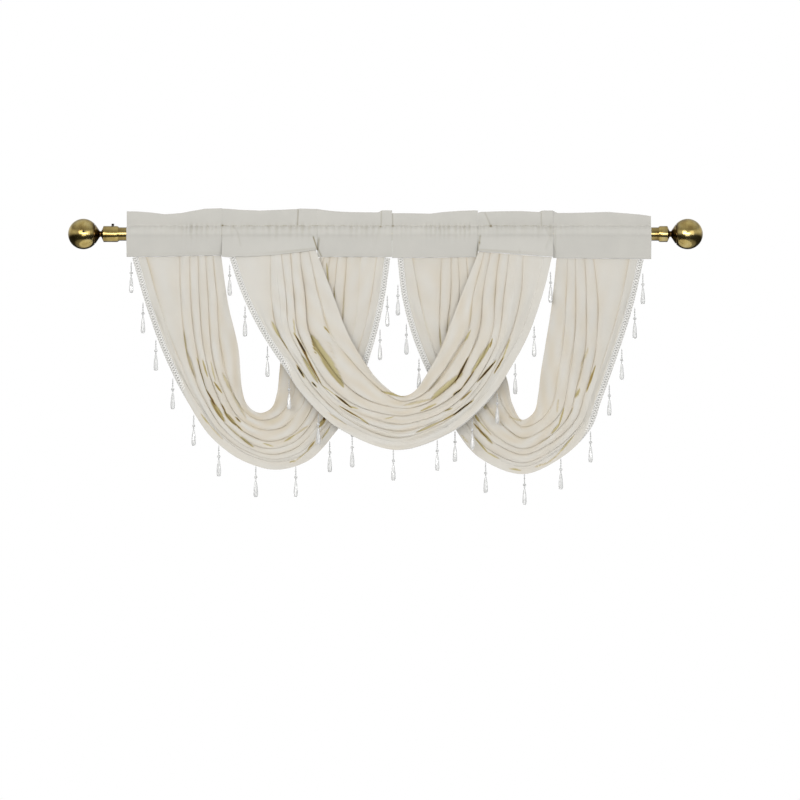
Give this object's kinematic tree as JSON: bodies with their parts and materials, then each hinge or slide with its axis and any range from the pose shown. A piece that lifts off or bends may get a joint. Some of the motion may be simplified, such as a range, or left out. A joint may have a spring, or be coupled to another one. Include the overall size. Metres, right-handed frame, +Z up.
{
  "type": "window valance on a curtain rod",
  "caption": "Window valance of pleated, interlaced swags with gathered headings and bead-edged braid, on a round rod with ball finials.",
  "frame": {"origin": "on the rod's axis, midway between the two ball finials", "axes": "+X along the rod to the viewer's right, +Z up, the front of the valance toward -Y"},
  "size_m": [1.206, 0.0843, 0.5616],
  "materials": {
    "brass": "antique brass, rubbed satin",
    "swag_cloth": "fine cream cloth, pressed pleats",
    "heading_cloth": "fine cream cloth, gathered",
    "braid": "silver-grey gimp braid and thread",
    "bead": "clear faceted beads"
  },
  "bodies": {
    "root": {"rod": "brass", "finial_left": "brass", "finial_right": "brass", "set_screw": "brass", "swag_left": "swag_cloth", "swag_centre": "swag_cloth", "swag_right": "swag_cloth", "heading_left_outer": "heading_cloth", "heading_centre_left": "heading_cloth", "heading_left_inner": "heading_cloth", "heading_right_inner": "heading_cloth", "heading_centre_right": "heading_cloth", "heading_right_outer": "heading_cloth", "trim_left": "braid", "trim_centre": "braid", "trim_right": "braid"}
  },
  "joints": []
}
